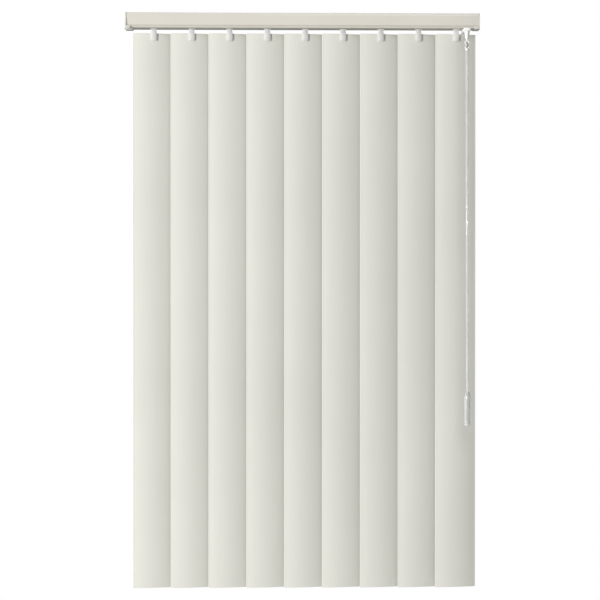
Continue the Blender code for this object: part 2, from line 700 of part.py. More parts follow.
def build():
    build_headrail()
    build_end_cap("end_cap_left", -1, LEFT_TONGUE, LEFT_TONGUE_DEPTH)
    build_end_cap("end_cap_right", 1, RIGHT_TONGUE, RIGHT_TONGUE_DEPTH)
    build_tilt_rod()
    carrier = build_vanes_and_carriers()
    build_wand_drive(carrier)
    for obj in BLIND.objects:
        if obj.type == "MESH":
            obj.data.shade_smooth()
            obj.data.set_sharp_from_angle(angle=math.radians(30))


build()
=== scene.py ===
import json
import math

import bmesh
import bpy
from mathutils import Matrix, Vector


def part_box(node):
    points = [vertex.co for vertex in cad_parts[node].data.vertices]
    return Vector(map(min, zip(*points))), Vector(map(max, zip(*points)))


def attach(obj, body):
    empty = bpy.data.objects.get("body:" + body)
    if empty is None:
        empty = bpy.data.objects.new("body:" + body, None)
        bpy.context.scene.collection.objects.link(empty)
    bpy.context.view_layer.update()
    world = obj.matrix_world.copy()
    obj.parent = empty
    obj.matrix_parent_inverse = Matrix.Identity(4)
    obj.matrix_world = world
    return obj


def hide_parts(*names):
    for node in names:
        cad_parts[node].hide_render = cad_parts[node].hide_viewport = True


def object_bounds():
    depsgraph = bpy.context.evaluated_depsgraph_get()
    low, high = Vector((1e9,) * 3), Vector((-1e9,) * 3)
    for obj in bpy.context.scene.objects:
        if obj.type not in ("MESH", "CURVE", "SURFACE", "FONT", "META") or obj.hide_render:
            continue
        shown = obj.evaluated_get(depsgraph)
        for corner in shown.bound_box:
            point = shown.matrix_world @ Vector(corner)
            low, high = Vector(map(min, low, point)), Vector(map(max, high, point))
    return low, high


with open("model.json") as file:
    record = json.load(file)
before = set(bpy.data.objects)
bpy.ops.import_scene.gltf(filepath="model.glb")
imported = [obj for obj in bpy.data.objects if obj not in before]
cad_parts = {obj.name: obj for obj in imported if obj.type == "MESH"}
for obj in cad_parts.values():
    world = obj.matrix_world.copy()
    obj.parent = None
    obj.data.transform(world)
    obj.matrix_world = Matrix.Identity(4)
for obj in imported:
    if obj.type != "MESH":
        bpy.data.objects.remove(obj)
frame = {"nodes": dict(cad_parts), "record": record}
cadBounds = [list(corner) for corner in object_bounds()]   # the frame's own box, before anything is added

joints = {joint["name"]: joint for joint in frame["record"]["behaviour"]["joints"]}
bodyOfNode = {node: body for body, nodes in frame["record"]["behaviour"]["bodies"].items() for node in nodes}
vaneNumbers = range(1, 10)


# ---- materials: every finish reads Object coordinates, so its grain has a real size in metres

def newMaterial(name, look):
    # colour varies between two tints, roughness between two values, and a bump follows the grain
    material = bpy.data.materials.new(name)
    material.use_nodes = True
    nodes, links = material.node_tree.nodes, material.node_tree.links
    shader = nodes["Principled BSDF"]
    place = nodes.new("ShaderNodeTexCoord")
    stretch = nodes.new("ShaderNodeMapping")
    stretch.inputs["Scale"].default_value = look["stretch"]
    links.new(place.outputs["Object"], stretch.inputs["Vector"])

    cloud = nodes.new("ShaderNodeTexNoise")            # slow change of tint over the piece
    cloud.inputs["Scale"].default_value = look["cloudScale"]
    cloud.inputs["Detail"].default_value = 3
    links.new(place.outputs["Object"], cloud.inputs["Vector"])
    grain = nodes.new("ShaderNodeTexNoise")            # fine grain, stretched the way the piece was made
    grain.inputs["Scale"].default_value = look["grainScale"]
    grain.inputs["Detail"].default_value = 4
    links.new(stretch.outputs["Vector"], grain.inputs["Vector"])

    tint = nodes.new("ShaderNodeValToRGB")
    tint.color_ramp.elements[0].position = 0.35
    tint.color_ramp.elements[1].position = 0.65
    tint.color_ramp.elements[0].color = (*look["darkTint"], 1)
    tint.color_ramp.elements[1].color = (*look["lightTint"], 1)
    blend = nodes.new("ShaderNodeMix")
    blend.data_type = "FLOAT"
    blend.inputs["Factor"].default_value = look.get("grainShare", 0.35)
    links.new(cloud.outputs["Fac"], blend.inputs["A"])
    links.new(grain.outputs["Fac"], blend.inputs["B"])
    links.new(blend.outputs["Result"], tint.inputs["Fac"])
    links.new(tint.outputs["Color"], shader.inputs["Base Color"])

    gloss = nodes.new("ShaderNodeMapRange")
    gloss.inputs["To Min"].default_value = look["roughness"][0]
    gloss.inputs["To Max"].default_value = look["roughness"][1]
    links.new(grain.outputs["Fac"], gloss.inputs["Value"])
    links.new(gloss.outputs["Result"], shader.inputs["Roughness"])

    relief = nodes.new("ShaderNodeBump")
    relief.inputs["Strength"].default_value = look["bump"]
    relief.inputs["Distance"].default_value = look["bumpDepth"]
    links.new(grain.outputs["Fac"], relief.inputs["Height"])
    links.new(relief.outputs["Normal"], shader.inputs["Normal"])
    for socket, value in look.get("fixed", {}).items():
        shader.inputs[socket].default_value = value
    return material


railPaint = newMaterial("railPaint", {
    "stretch": (0.05, 1, 1), "cloudScale": 6, "grainScale": 900,
    "darkTint": (0.622, 0.596, 0.535), "lightTint": (0.665, 0.637, 0.574),
    "roughness": (0.36, 0.48), "bump": 0.22, "bumpDepth": 0.00005,
    "fixed": {"Coat Weight": 0.6, "Coat Roughness": 0.12}})
vanePvc = newMaterial("vanePvc", {
    "stretch": (1, 1, 0.01), "cloudScale": 3, "grainScale": 700,
    "darkTint": (0.725, 0.722, 0.662), "lightTint": (0.765, 0.762, 0.70),
    "roughness": (0.42, 0.55), "bump": 0.22, "bumpDepth": 0.00005})
whiteMoulding = newMaterial("whiteMoulding", {
    "stretch": (1, 1, 1), "cloudScale": 30, "grainScale": 1800,
    "darkTint": (0.74, 0.735, 0.69), "lightTint": (0.80, 0.795, 0.75),
    "roughness": (0.34, 0.46), "bump": 0.2, "bumpDepth": 0.00005})
capMoulding = newMaterial("capMoulding", {
    "stretch": (1, 1, 1), "cloudScale": 30, "grainScale": 1600,
    "darkTint": (0.56, 0.545, 0.49), "lightTint": (0.63, 0.615, 0.555),
    "roughness": (0.36, 0.48), "bump": 0.2, "bumpDepth": 0.00005})
milkyClip = newMaterial("milkyClip", {
    "stretch": (1, 1, 0.4), "cloudScale": 60, "grainScale": 900,
    "darkTint": (0.72, 0.72, 0.70), "lightTint": (0.79, 0.79, 0.77),
    "roughness": (0.22, 0.34), "bump": 0.15, "bumpDepth": 0.00005})
whiteHook = newMaterial("whiteHook", {
    "stretch": (1, 1, 0.4), "cloudScale": 60, "grainScale": 900,
    "darkTint": (0.84, 0.84, 0.82), "lightTint": (0.90, 0.90, 0.88),
    "roughness": (0.18, 0.30), "bump": 0.12, "bumpDepth": 0.00005})
clearAcrylic = newMaterial("clearAcrylic", {
    "stretch": (1, 1, 0.02), "cloudScale": 20, "grainScale": 600,
    "darkTint": (0.88, 0.89, 0.88), "lightTint": (0.95, 0.955, 0.95),
    "roughness": (0.03, 0.06), "bump": 0.01, "bumpDepth": 0.00002,
    "fixed": {"Transmission Weight": 0.76, "IOR": 1.49, "Specular IOR Level": 0.35}})
greyMoulding = newMaterial("greyMoulding", {
    "stretch": (1, 1, 1), "cloudScale": 40, "grainScale": 1500,
    "darkTint": (0.33, 0.33, 0.31), "lightTint": (0.42, 0.42, 0.40),
    "roughness": (0.4, 0.55), "bump": 0.2, "bumpDepth": 0.00005})
drawnAluminium = newMaterial("drawnAluminium", {
    "stretch": (0.01, 1, 1), "cloudScale": 12, "grainScale": 2500,
    "darkTint": (0.62, 0.62, 0.63), "lightTint": (0.74, 0.74, 0.75),
    "roughness": (0.25, 0.42), "bump": 0.3, "bumpDepth": 0.00004, "fixed": {"Metallic": 1.0}})
springSteel = newMaterial("springSteel", {
    "stretch": (0.02, 1, 1), "cloudScale": 15, "grainScale": 2200,
    "darkTint": (0.42, 0.43, 0.44), "lightTint": (0.56, 0.57, 0.58),
    "roughness": (0.22, 0.4), "bump": 0.3, "bumpDepth": 0.00004, "fixed": {"Metallic": 1.0}})
# the link's steel: a real steel wire ring, but made darker than the spacers' steel so that it fills in for
# the shade in the eye holes it passes through; partly painted shade
bentSteel = newMaterial("bentSteel", {
    "stretch": (1, 1, 0.1), "cloudScale": 80, "grainScale": 2200,
    "darkTint": (0.22, 0.215, 0.20), "lightTint": (0.32, 0.315, 0.30),
    "roughness": (0.25, 0.4), "bump": 0.2, "bumpDepth": 0.00003, "fixed": {"Metallic": 1.0}})
print("materials ready")


# ---- shared modelling steps

def addPiece(name, bm, material, nodes, smoothAngle=32):
    # the piece rides with the body of the nodes it stands for, and those nodes are hidden
    mesh = bpy.data.meshes.new(name)
    bm.to_mesh(mesh)
    bm.free()
    mesh.materials.append(material)
    mesh.shade_smooth()
    mesh.set_sharp_from_angle(angle=math.radians(smoothAngle))
    piece = bpy.data.objects.new(name, mesh)
    bpy.context.scene.collection.objects.link(piece)
    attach(piece, bodyOfNode[nodes[0]])
    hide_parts(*nodes)
    return piece


def addBlock(bm, low, high, radius=0.0, segments=2, pick=None):
    # a box between two corners, with the picked edges rounded
    made = bmesh.ops.create_cube(bm, size=1.0)["verts"]
    low, high = Vector(low), Vector(high)
    bmesh.ops.scale(bm, vec=high - low, verts=made)
    bmesh.ops.translate(bm, vec=(low + high) / 2, verts=made)
    if radius:
        edges = list({edge for vert in made for edge in vert.link_edges})
        edges = [edge for edge in edges if pick is None or pick(edge)]
        bmesh.ops.bevel(bm, geom=edges, offset=radius, offset_type="OFFSET", affect="EDGES",
                        segments=segments, profile=0.5, material=-1, clamp_overlap=True)
    return bm


def addRod(bm, start, end, radiusStart, radiusEnd=None, sides=32):
    # a cylinder or cone from start to end
    start, end = Vector(start), Vector(end)
    along = end - start
    radiusEnd = radiusStart if radiusEnd is None else radiusEnd
    turn = along.to_track_quat("Z", "Y").to_matrix().to_4x4()
    matrix = Matrix.Translation((start + end) / 2) @ turn
    bmesh.ops.create_cone(bm, cap_ends=True, segments=sides, depth=along.length,
                          radius1=radiusStart, radius2=radiusEnd, matrix=matrix)
    return bm


def turnProfile(bm, profile, centre, steps=48):
    # a profile of (radius, z) points spun round a vertical axis
    points = [bm.verts.new((centre[0] + radius, centre[1], z)) for radius, z in profile]
    edges = [bm.edges.new(pair) for pair in zip(points, points[1:])]
    bmesh.ops.spin(bm, geom=points + edges, cent=(centre[0], centre[1], 0), axis=(0, 0, 1),
                   angle=2 * math.pi, steps=steps, use_merge=True)
    bmesh.ops.remove_doubles(bm, verts=bm.verts, dist=1e-6)
    bmesh.ops.recalc_face_normals(bm, faces=bm.faces)
    return bm


def addLoop(bm, centre, radiusWide, radiusHigh, wire, axis, steps=40, sides=16):
    # a wire ring, round or oval: a small circle is spun, then the ring is drawn out to its height
    ring = bmesh.ops.create_circle(bm, cap_ends=False, segments=sides, radius=wire)["verts"]
    bmesh.ops.rotate(bm, cent=(0, 0, 0), matrix=Matrix.Rotation(math.pi / 2, 3, "X"), verts=ring)
    bmesh.ops.translate(bm, vec=(radiusWide, 0, 0), verts=ring)
    edges = list({edge for vert in ring for edge in vert.link_edges})
    bmesh.ops.spin(bm, geom=ring + edges, cent=(0, 0, 0), axis=(0, 0, 1),
                   angle=2 * math.pi, steps=steps, use_merge=True)
    bmesh.ops.remove_doubles(bm, verts=bm.verts, dist=1e-6)
    stretch = (radiusHigh - radiusWide)
    for vert in bm.verts:                               # the two halves part, so the wire keeps its thickness
        flat = math.hypot(vert.co.x, vert.co.y)
        vert.co.y += stretch * vert.co.y / flat
    turn = Matrix.Rotation(math.pi / 2, 3, "X")
    if axis == "X":
        turn = Matrix.Rotation(math.pi / 2, 3, "Z") @ turn
    bmesh.ops.rotate(bm, cent=(0, 0, 0), matrix=turn, verts=bm.verts)
    bmesh.ops.translate(bm, vec=centre, verts=bm.verts)
    bmesh.ops.recalc_face_normals(bm, faces=bm.faces)
    return bm


def newShape(build, *args, **more):
    # one closed shape in a mesh of its own
    bm = bmesh.new()
    build(bm, *args, **more)
    return bm


def joinShapes(shapes, holes=()):
    # a Boolean union of closed shapes, less the holes, given back as one bmesh
    helpers = []
    for index, shape in enumerate([*shapes, *holes]):
        mesh = bpy.data.meshes.new("helper")
        shape.to_mesh(mesh)
        shape.free()
        helper = bpy.data.objects.new("helper", mesh)
        bpy.context.scene.collection.objects.link(helper)
        helpers.append(helper)
    base = helpers[0]
    for index, helper in enumerate(helpers[1:], 1):
        step = base.modifiers.new("join", "BOOLEAN")
        step.operation = "UNION" if index < len(shapes) else "DIFFERENCE"
        step.solver = "EXACT"
        step.object = helper
    bpy.context.view_layer.update()
    result = bpy.data.meshes.new_from_object(base.evaluated_get(bpy.context.evaluated_depsgraph_get()))
    for helper in helpers:
        bpy.data.objects.remove(helper)
    bm = bmesh.new()
    bm.from_mesh(result)
    bpy.data.meshes.remove(result)
    bmesh.ops.remove_doubles(bm, verts=bm.verts, dist=1e-6)
    return bm


def softenEdges(bm, width, segments=2, angle=30):
    # rounds every edge that is sharper than the angle
    bmesh.ops.dissolve_limit(bm, angle_limit=math.radians(1.0), verts=bm.verts, edges=bm.edges)
    sharp = [edge for edge in bm.edges
             if len(edge.link_faces) == 2 and edge.calc_face_angle() > math.radians(angle)]
    bmesh.ops.bevel(bm, geom=sharp, offset=width, offset_type="OFFSET", affect="EDGES",
                    segments=segments, profile=0.5, material=-1, clamp_overlap=True)
    return bm


# ---- headrail: one extrusion with a ridge near its top and a groove above its lip

headrailLook = {"topRadius": 0.0026, "ridgeTop": -0.0042, "ridgeBottom": -0.0064, "faceDrop": 0.0004,
                "ridgeLean": 0.0004, "stripDrop": 0.0003,
                "grooveTop": -0.0269, "grooveBottom": -0.0283, "grooveDepth": 0.0017, "foldWall": 0.0009,
                "wall": 0.0013, "slotHalf": 0.009, "lipRadius": 0.0009, "edgeRound": 0.00018,
                "longEdge": 0.1, "sharpTurn": 40}


def quarterTurn(centreY, centreZ, radius, start, steps=6):
    # points of a rounded corner; start is the angle of its first point
    turns = [start + step * math.pi / 2 / steps for step in range(steps + 1)]
    return [(centreY + radius * math.cos(turn), centreZ + radius * math.sin(turn)) for turn in turns]


def buildHeadrail(look):
    low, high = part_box("headrail")
    half, bottom = high[1], low[2]
    face, lip = half - look["faceDrop"], look["lipRadius"]
    strip = face - look["stripDrop"]
    outer = [(look["slotHalf"], bottom)] + quarterTurn(half - lip, bottom + lip, lip, -math.pi / 2)
    outer += [(half, look["grooveBottom"]), (half - look["grooveDepth"], look["grooveBottom"]),
              (half - look["grooveDepth"], look["grooveTop"]), (face, look["grooveTop"]),
              (face, look["ridgeBottom"] - look["faceDrop"]), (half, look["ridgeBottom"]),
              (half - look["ridgeLean"], look["ridgeTop"]), (strip, look["ridgeTop"] + look["stripDrop"])]
    outer += quarterTurn(strip - look["topRadius"], -look["topRadius"], look["topRadius"], 0)
    wall, within = face - look["wall"], half - look["grooveDepth"] - look["foldWall"]
    foldLow, foldHigh = look["grooveBottom"] - look["foldWall"], look["grooveTop"] + look["foldWall"]
    inner = [(look["slotHalf"], bottom + look["wall"]), (wall, bottom + look["wall"]), (wall, foldLow),
             (within, foldLow), (within, foldHigh), (wall, foldHigh), (wall, -look["wall"])]
    section = outer + [(-y, z) for y, z in reversed(outer)]
    section += [(-y, z) for y, z in inner] + [(y, z) for y, z in reversed(inner)]
    bm = bmesh.new()
    verts = [bm.verts.new((low[0], y, z)) for y, z in section]
    cap = bmesh.ops.contextual_create(bm, geom=verts)["faces"]
    grown = bmesh.ops.extrude_face_region(bm, geom=cap)["geom"]
    bmesh.ops.translate(bm, vec=(high[0] - low[0], 0, 0),
                        verts=[item for item in grown if isinstance(item, bmesh.types.BMVert)])
    bmesh.ops.recalc_face_normals(bm, faces=bm.faces)
    corners = [edge for edge in bm.edges                # the long edges that turn sharply
               if abs(edge.verts[0].co.x - edge.verts[1].co.x) > look["longEdge"]
               and edge.calc_face_angle() > math.radians(look["sharpTurn"])]
    bmesh.ops.bevel(bm, geom=corners, offset=look["edgeRound"], offset_type="OFFSET", affect="EDGES",
                    segments=2, profile=0.5, material=-1, clamp_overlap=True)
    addPiece("headrailExtrusion", bm, railPaint, ["headrail"])


buildHeadrail(headrailLook)
print("headrail done")


# ---- vanes: cambered PVC strips with rolled edges, each hanging a little differently

vaneLook = {"columns": 36, "rows": 26, "camber": 0.004, "flatWidth": 0.089, "thickness": 0.0008,
            "beadRadius": 0.00065, "beadBlend": 0.0022, "beadSteps": 6, "restAngle": math.radians(14),
            "holeHalf": 0.0031, "holeTop": -0.0473, "holeBottom": -0.0512,
            "twistTop": [0.1, 0.0, 0.2, 0.1, 0.1, 0.0, 0.2, 0.1, 0.3],         # degrees
            "twistBottom": [0.3, 0.4, 0.1, 0.2, 0.3, 0.0, 0.2, 0.0, -0.3],     # degrees
            "lean": [0.0004, 0.0003, 0.0, -0.0002, -0.0006, -0.0006, -0.0002, -0.0002, -0.0012]}


def vaneSection(look):
    # (distance along the vane's width, distance off its middle surface) all the way round
    half, bead, thin = look["flatWidth"] / 2, look["beadRadius"], look["thickness"] / 2
    reach = half - bead
    across = [reach * (2 * step / look["columns"] - 1) for step in range(look["columns"] + 1)]
    across += [-look["holeHalf"], look["holeHalf"]]
    blendShares = (0.25, 0.5, 0.75, 1.0)
    across += [side * (reach - look["beadBlend"] * share) for side in (-1, 1) for share in blendShares]
    across = sorted(set(round(value, 6) for value in across))

    def offset(value):                                  # the sheet swells smoothly into each rolled edge
        share = max(0.0, 1 - (reach - abs(value)) / look["beadBlend"])
        return thin + (bead - thin) * share * share * (3 - 2 * share)

    front = [(value, offset(value)) for value in across]
    turns = [math.pi / 2 - math.pi * step / look["beadSteps"] for step in range(1, look["beadSteps"])]
    right = [(reach + bead * math.cos(turn), bead * math.sin(turn)) for turn in turns]
    back = [(value, -off) for value, off in reversed(front)]
    left = [(-value, -off) for value, off in right]
    return front + right + back + left


def buildVane(number, look):
    node = f"vane_{number}"
    low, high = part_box(node)
    top, bottom = high[2], low[2]
    axisX = joints["tilt" if number == 1 else f"vane_{number}_tilt"]["pos_m"][0]
    halfWidth = look["flatWidth"] / 2
    halfAngle = 2 * math.atan(2 * look["camber"] / look["flatWidth"])
    radius = halfWidth / halfAngle
    levels = [top, look["holeTop"], look["holeBottom"]]
    levels += [look["holeBottom"] + (bottom - look["holeBottom"]) * step / look["rows"]
               for step in range(1, look["rows"] + 1)]
    bm = bmesh.new()
    ring = [bm.verts.new((across, off, top)) for across, off in vaneSection(look)]
    edges = [bm.edges.new((first, second)) for first, second in zip(ring, ring[1:] + ring[:1])]
    for above, level in zip(levels, levels[1:]):
        grown = bmesh.ops.extrude_edge_only(bm, edges=edges)["geom"]
        bmesh.ops.translate(bm, vec=(0, 0, level - above),
                            verts=[item for item in grown if isinstance(item, bmesh.types.BMVert)])
        edges = [item for item in grown if isinstance(item, bmesh.types.BMEdge) and item.is_boundary]
    punched = [face for face in bm.faces
               if abs(face.calc_center_median().x) < look["holeHalf"]
               and look["holeBottom"] < face.calc_center_median().z < look["holeTop"]]
    rim = {edge for face in punched for edge in face.edges
           if sum(other in punched for other in edge.link_faces) == 1}
    bmesh.ops.delete(bm, geom=punched, context="FACES_ONLY")
    loose = [edge for edge in bm.edges if not edge.link_faces]
    bmesh.ops.delete(bm, geom=loose, context="EDGES")
    bmesh.ops.bridge_loops(bm, edges=[edge for edge in rim if edge.is_valid])
    bmesh.ops.holes_fill(bm, edges=[edge for edge in bm.edges if edge.is_boundary], sides=0)
    for vert in bm.verts:                               # bend, turn, twist and lean
        across, off, z = vert.co
        drop = (top - z) / (top - bottom)
        twist = look["twistTop"][number - 1] * (1 - drop) + look["twistBottom"][number - 1] * drop
        bend = across / radius
        flat = Vector(((radius + off) * math.sin(bend), radius - (radius + off) * math.cos(bend), 0))
        flat.rotate(Matrix.Rotation(look["restAngle"] + math.radians(twist), 3, "Z"))
        vert.co = (axisX + flat.x + look["lean"][number - 1] * drop ** 1.5, flat.y, z)
    bmesh.ops.recalc_face_normals(bm, faces=bm.faces)
    addPiece(f"vaneSheet{number}", bm, vanePvc, [node])


for number in vaneNumbers:
    buildVane(number, vaneLook)
print("vanes done")


# ---- stems: geared head, round shaft, flat neck and a clip of two leaves with a peg through the vane

stemLook = {"teeth": 19, "gearRadius": 0.005, "gearRoot": 0.0044, "gearTop": -0.0125, "gearBottom": -0.0185,
            "pivotRadius": 0.002, "pivotTop": -0.0102, "shaftRadius": 0.003, "shaftBottom": -0.0341,
            "neckTop": -0.0339, "neckHalfTop": 0.0047, "neckHalfBottom": 0.0054, "neckHalfDepth": 0.0018,
            "clipTop": -0.0387, "bridgeBottom": -0.0414, "clipHalf": 0.0058,
            "frontLeaf": (-0.0023, -0.0007), "frontBottom": -0.0570,
            "rearLeaf": (0.00085, 0.00195), "rearBottom": -0.0530,
            "pegHalf": 0.0022, "pegTop": -0.0476, "pegBottom": -0.0496, "pegBack": 0.00055,
            "lap": 0.0004, "neckLap": 0.0006, "leafRound": 0.0028, "leafSteps": 5, "edge": 0.00022}


def addGear(bm, teeth, radius, root, low, high):
    # a toothed disc: every second pair of rim points is drawn in to the root
    made = bmesh.ops.create_cone(bm, cap_ends=True, segments=teeth * 4, depth=high - low,
                                 radius1=radius, radius2=radius)["verts"]
    for vert in made:
        turn = math.atan2(vert.co.y, vert.co.x) % (2 * math.pi)
        if round(turn / (2 * math.pi) * teeth * 4) % 4 >= 2:
            vert.co.x *= root / radius
            vert.co.y *= root / radius
    bmesh.ops.translate(bm, vec=(0, 0, (low + high) / 2), verts=made)
    return bm


def addNeck(bm, look):
    # the flat neck widens downwards into the clip
    made = bmesh.ops.create_cube(bm, size=1.0)["verts"]
    for vert in made:
        upper = vert.co.z > 0
        half = look["neckHalfTop"] if upper else look["neckHalfBottom"]
        z = look["neckTop"] if upper else look["clipTop"] - look["neckLap"]
        vert.co = (math.copysign(half, vert.co.x), math.copysign(look["neckHalfDepth"], vert.co.y), z)
    return bm


def lowerCorner(edge, bottom):
    # an edge that runs front to back at the foot of a leaf
    first, second = edge.verts[0].co, edge.verts[1].co
    return abs(first.y - second.y) > 1e-5 and abs(first.z - bottom) < 1e-5 and abs(second.z - bottom) < 1e-5


def makeStemMesh(look):
    half, front, back = look["clipHalf"], look["frontLeaf"], look["rearLeaf"]
    lap, leafRound, leafSteps = look["lap"], look["leafRound"], look["leafSteps"]
    shapes = [
        newShape(addRod, (0, 0, look["shaftBottom"]), (0, 0, look["gearBottom"] + lap), look["shaftRadius"]),
        newShape(addGear, look["teeth"], look["gearRadius"], look["gearRoot"],
                 look["gearBottom"], look["gearTop"]),
        newShape(addRod, (0, 0, look["gearTop"] - lap), (0, 0, look["pivotTop"]), look["pivotRadius"]),
        newShape(addNeck, look),
        newShape(addBlock, (-half, front[0], look["bridgeBottom"]), (half, back[1], look["clipTop"])),
        newShape(addBlock, (-half, front[0], look["frontBottom"]), (half, front[1], look["clipTop"] - lap),
                 leafRound, leafSteps, lambda edge: lowerCorner(edge, look["frontBottom"])),
        newShape(addBlock, (-half, back[0], look["rearBottom"]), (half, back[1], look["clipTop"] - lap),
                 leafRound, leafSteps, lambda edge: lowerCorner(edge, look["rearBottom"])),
        newShape(addBlock, (-look["pegHalf"], front[1] - lap, look["pegBottom"]),
                 (look["pegHalf"], look["pegBack"], look["pegTop"])),
    ]
    return softenEdges(joinShapes(shapes), look["edge"], 2, 40)


def buildStems(look):
    pattern = makeStemMesh(look)
    master = bpy.data.meshes.new("stemPattern")
    pattern.to_mesh(master)
    pattern.free()
    for number in vaneNumbers:
        axisX = joints["tilt" if number == 1 else f"vane_{number}_tilt"]["pos_m"][0]
        bm = bmesh.new()
        bm.from_mesh(master)
        turn = Matrix.Rotation(vaneLook["restAngle"], 3, "Z")
        bmesh.ops.rotate(bm, cent=(0, 0, 0), matrix=turn, verts=bm.verts)
        bmesh.ops.translate(bm, vec=(axisX, 0, 0), verts=bm.verts)
        addPiece(f"stemClip{number}", bm, milkyClip, [f"stem_{number}"])
    bpy.data.meshes.remove(master)


buildStems(stemLook)
print("stems done")


# ---- end caps, carriers and the wand's arm keep the frame's form and get rounded edges

def roundedCopy(node, name, material, width, angle=30):
    # a merged copy of a frame node with its sharp edges rounded
    bm = bmesh.new()
    bm.from_mesh(frame["nodes"][node].data)
    bmesh.ops.remove_doubles(bm, verts=bm.verts, dist=1e-6)
    softenEdges(bm, width, 2, angle)
    return addPiece(name, bm, material, [node])


capLook = {"edge": 0.0002}
carrierLook = {"edge": 0.00025}
armLook = {"edge": 0.0003}
for side in ("left", "right"):
    roundedCopy(f"end_cap_{side}", f"endCap{side.title()}", capMoulding, capLook["edge"])
for number in vaneNumbers:
    roundedCopy(f"carrier_{number}", f"carrierBody{number}", whiteMoulding, carrierLook["edge"], 40)
roundedCopy("wand_carrier", "wandCarrierBody", whiteMoulding, carrierLook["edge"], 40)
roundedCopy("wand_arm", "wandArmShell", whiteHook, armLook["edge"], 40)
roundedCopy("arm_cover", "wandArmCover", whiteHook, armLook["edge"], 40)
print("caps, carriers and arm done")


# ---- wand: spindle with its eye, link, head, clear rod and clear grip

wandLook = {"bossBottom": -0.0471, "shaftRadius": 0.00248, "shaftTop": -0.04035,
            "bevelTop": -0.0391, "bevelSmall": 0.0009, "bevelLarge": 0.0022,
            "barrelRadius": 0.0044, "barrelBottom": -0.0520, "barrelRound": 0.0006,
            "eyeWire": 0.00105, "eyeRadius": 0.0038, "linkRadius": 0.00355, "linkWire": 0.0009,
            "headWire": 0.0011, "headEye": 0.0033, "headEyeZ": -0.07415,
            "headTop": -0.0772, "headBottom": -0.0812, "headRadius": 0.0035, "headCrown": 0.0014,
            "headRise": 0.0006, "headShoulder": 0.0010, "headStep": 0.0002, "headRound": 0.0003,
            "drawSteps": 8, "gripRim": 0.0008, "gripMouth": 0.0004, "gripFlare": 1.6, "gripSteps": 6,
            "rodRadius": 0.0033, "rodRound": 0.0004, "lean": 0.0012,
            "gripRadius": 0.00675, "gripFloor": 0.0035, "gripRound": 0.0009, "gripShoulder": 0.0135,
            "gripClearance": 0.0003}


def leanRight(bm, top, bottom, reach):
    # the wand hangs a touch out of plumb below its head
    for vert in bm.verts:
        vert.co.x += reach * max(0.0, (top - vert.co.z) / (top - bottom))


def buildHanger(look, centre, linkBar, wandBar):
    eyeZ = linkBar + look["eyeRadius"]
    barrel, soft = look["barrelRadius"], look["barrelRound"]
    profile = [(0, look["bevelTop"]), (look["bevelSmall"], look["bevelTop"]),
               (look["bevelLarge"], look["shaftTop"]), (look["shaftRadius"], look["shaftTop"]),
               (look["shaftRadius"], look["bossBottom"]), (barrel - soft, look["bossBottom"]),
               (barrel - soft * 0.3, look["bossBottom"] - soft * 0.3), (barrel, look["bossBottom"] - soft)]
    foot = eyeZ + look["eyeRadius"]
    for step in range(look["drawSteps"] + 1):           # the barrel draws in to the eye along a soft curve
        share = step / look["drawSteps"]
        width = barrel + (look["eyeWire"] * 1.2 - barrel) * (1 - math.cos(share * math.pi)) / 2
        profile.append((width, look["barrelBottom"] + (foot - look["barrelBottom"]) * share))
    profile.append((0, foot))
    shapes = [newShape(turnProfile, profile, centre),
              newShape(addLoop, (*centre, eyeZ), look["eyeRadius"], look["eyeRadius"], look["eyeWire"], "Y")]
    addPiece("wandSpindle", joinShapes(shapes), whiteHook, ["spindle"])
    link = newShape(addLoop, (*centre, wandBar + look["linkRadius"]),
                    look["linkRadius"], look["linkRadius"], look["linkWire"], "X")
    # the link's dark finish is partly painted shade for the spindle's and head's eye holes
    addPiece("wandLink", link, bentSteel, ["wand_link"])


def buildWand(look):
    pivotX, pivotY, linkBar = joints["wand_swing_forward"]["pos_m"]
    wandBar = joints["wand_swing_sideways"]["pos_m"][2]
    centre = (pivotX, pivotY)
    buildHanger(look, centre, linkBar, wandBar)
    top, bottom = look["headBottom"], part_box("wand_grip")[0][2]
    crown, width, soft = look["headTop"] + look["headRise"], look["headRadius"], look["headRound"]
    profile = [(0, crown), (look["headCrown"], crown),
               (width - look["headRise"], look["headTop"] - look["headStep"]),
               (width, look["headTop"] - look["headShoulder"]),
               (width, top + soft), (width - soft, top), (0, top)]
    shapes = [newShape(turnProfile, profile, centre),
              newShape(addLoop, (*centre, look["headEyeZ"]), look["headEye"], look["headEye"],
                       look["headWire"], "Y")]
    addPiece("wandHead", joinShapes(shapes), whiteHook, ["wand_head"])

    low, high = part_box("wand_rod")
    rod = newShape(addRod, (*centre, low[2]), (*centre, high[2]), look["rodRadius"], None, 32)
    softenEdges(rod, look["rodRound"], 2, 50)
    leanRight(rod, top, bottom, look["lean"])
    addPiece("wandRod", rod, clearAcrylic, ["wand_rod"])

    low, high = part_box("wand_grip")
    soft, width, bore = look["gripRound"], look["gripRadius"], look["rodRadius"] + look["gripClearance"]
    profile = [(0, low[2]), (width - soft, low[2])]
    for step in range(1, 5):                            # the rounded foot
        turn = step * math.pi / 8
        profile.append((width - soft * (1 - math.sin(turn)), low[2] + soft * (1 - math.cos(turn))))
    shoulder = high[2] - look["gripShoulder"]
    mouth, floor = high[2] - look["gripClearance"], low[2] + look["gripFloor"]
    for step in range(look["gripSteps"] + 1):           # the tapered shoulder
        share = step / look["gripSteps"]
        profile.append((width + (bore + look["gripRim"] - width) * share ** look["gripFlare"],
                        shoulder + (mouth - shoulder) * share))
    profile += [(bore + look["gripMouth"], high[2]), (bore, mouth), (bore, floor), (0, floor)]
    grip = newShape(turnProfile, profile, centre)
    leanRight(grip, top, bottom, look["lean"])
    addPiece("wandGrip", grip, clearAcrylic, ["wand_grip"])


buildWand(wandLook)
print("wand done")


# ---- the frame nodes that stay: the rod, worms, drive and spacer strips

